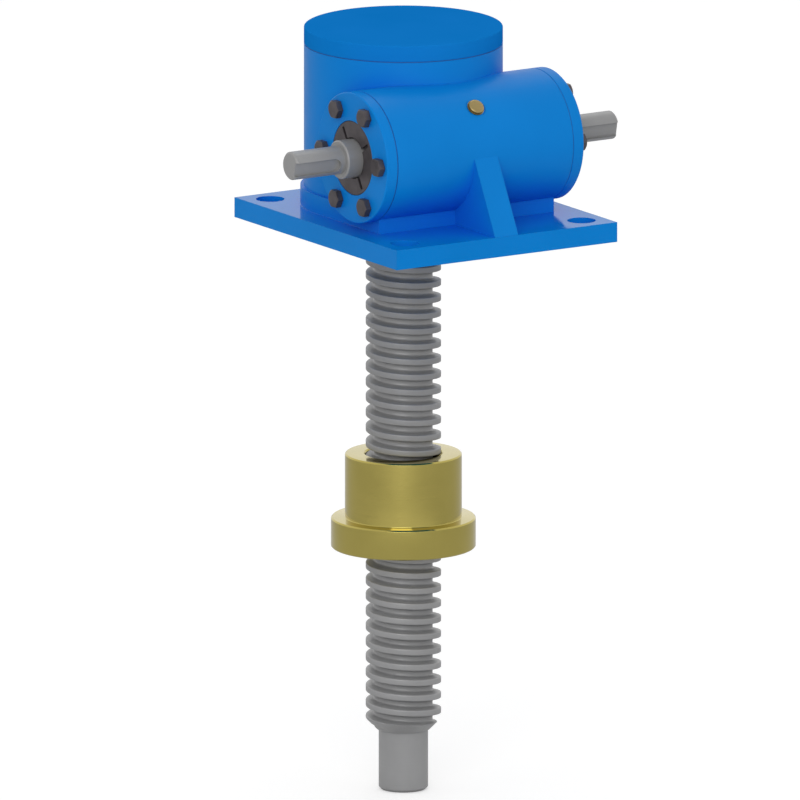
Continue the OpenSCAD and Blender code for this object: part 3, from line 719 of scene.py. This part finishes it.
def studio_world():
    """A pale room: an even dome for matt surfaces, a white backdrop that mirrors see a little brighter
    behind the object than in front of it, and plain white past the floor."""
    world = bpy.data.worlds.new("studio")
    bpy.context.scene.world = world
    world.use_nodes = True
    tree = world.node_tree
    tree.nodes.clear()
    output = tree.nodes.new("ShaderNodeOutputWorld")
    rays = add(tree, "LightPath")
    seen = add(tree, "Math", {0: rays.outputs["Is Camera Ray"], 1: rays.outputs["Is Transmission Ray"]},
               operation="MAXIMUM").outputs["Value"]
    towards = add(tree, "TexCoord").outputs["Generated"]
    behind = add(tree, "VectorMath", {0: towards, 1: tuple(-LOOK_BACK)}, operation="DOT_PRODUCT")
    backdrop = spread(tree, behind.outputs["Value"], FRONT_GLOSS, BACK_GLOSS, *BACKDROP_BLEND)
    dome = add(tree, "Background", {"Color": (1, 1, 1, 1), "Strength": DOME})
    mirrored = add(tree, "Background", {"Color": (1, 1, 1, 1), "Strength": backdrop})
    white = add(tree, "Background", {"Color": (1, 1, 1, 1), "Strength": 1.0})
    glossy = rays.outputs["Is Glossy Ray"]
    room = add(tree, "MixShader", {"Fac": glossy, 1: dome.outputs[0], 2: mirrored.outputs[0]})
    mixed = add(tree, "MixShader", {"Fac": seen, 1: room.outputs[0], 2: white.outputs[0]})
    tree.links.new(mixed.outputs[0], output.inputs["Surface"])


def lamp(name, energy, stand):
    """A round softbox on its stand, facing the jack."""
    data = bpy.data.lights.new(name, "AREA")
    data.energy = energy
    data.shape = "DISK"
    data.size = LAMP_SIZE
    light = bpy.data.objects.new(name, data)
    bpy.context.scene.collection.objects.link(light)
    light.location = stand
    light.rotation_euler = (Vector(LAMP_AIM) - Vector(stand)).to_track_quat("-Z", "Y").to_euler()


def studio_floor():
    """A wide pale disc just under the spindle's foot. Its lift towards white is for the camera alone, so
    that the floor lights the jack as a plain grey one would, and keeps its shadow. From below it is clear."""
    height = SPINDLE_END - FLOOR_DROP
    outline = np.array([[FLOOR_RADIUS, height], [0, height]])
    floor = solid("studio_floor", *turned(outline, FLOOR_STEPS))
    material, tree, shader = material_nodes("floor_white")
    shader.inputs["Base Color"].default_value = (FLOOR_WHITE, FLOOR_WHITE, FLOOR_WHITE, 1)
    shader.inputs["Roughness"].default_value = 1.0
    shader.inputs["Specular IOR Level"].default_value = 0.0
    shader.inputs["Emission Color"].default_value = (1, 1, 1, 1)
    seen = add(tree, "LightPath").outputs["Is Camera Ray"]
    link(tree, spread(tree, seen, 0, FLOOR_LIFT, 0, 1), shader, "Emission Strength")
    below = add(tree, "NewGeometry").outputs["Backfacing"]
    clear = add(tree, "BsdfTransparent").outputs["BSDF"]
    mixed = add(tree, "MixShader", {"Fac": below, 1: shader.outputs["BSDF"], 2: clear}).outputs["Shader"]
    tree.links.new(mixed, tree.nodes["Material Output"].inputs["Surface"])
    floor.data.materials.append(material)


def camera():
    """A level long-lens view of the whole jack."""
    data = bpy.data.cameras.new("camera")
    data.type = "ORTHO"
    data.ortho_scale = VIEW_WIDTH * MM
    data.clip_end = CAMERA_REACH
    eye = bpy.data.objects.new("camera", data)
    bpy.context.scene.collection.objects.link(eye)
    aim = (LOOK_RIGHT * AIM_RIGHT + LOOK_UP * AIM_UP) * MM
    eye.location = aim + LOOK_BACK * CAMERA_DISTANCE
    eye.rotation_euler = Vector(-LOOK_BACK).to_track_quat("-Z", "Y").to_euler()
    bpy.context.scene.camera = eye


# ---------------------------------------------------------------- build

finish_nodes()
dress(make_spindle(), "screw", ["spindle"], THREAD_STEEL)
dress(make_nut(), "nut", ["travelling_nut"], BRONZE)
dress(make_lid(), "gearbox", ["top_cover"], BLUE_COVER)
dress(make_cover_bolts("left_cover_bolts", LEFT_END), "gearbox", ["cover_bolts_left"],
      BLACK)
dress(make_cover_bolts("right_cover_bolts", RIGHT_END), "gearbox", ["cover_bolts_right"],
      BLACK)
dress(make_oil_plug(), "gearbox", ["oil_plug"], BRASS)
dress(make_shaft_seals(), "gearbox", ["worm_seals"], RUBBER)
dress(make_spindle_seal(), "gearbox", ["spindle_seal"], RUBBER)
studio_world()
studio_floor()
lamp("key", KEY_ENERGY, KEY_PLACE)
lamp("fill", FILL_ENERGY, FILL_PLACE)
camera()
bpy.context.scene.view_settings.view_transform = "Standard"
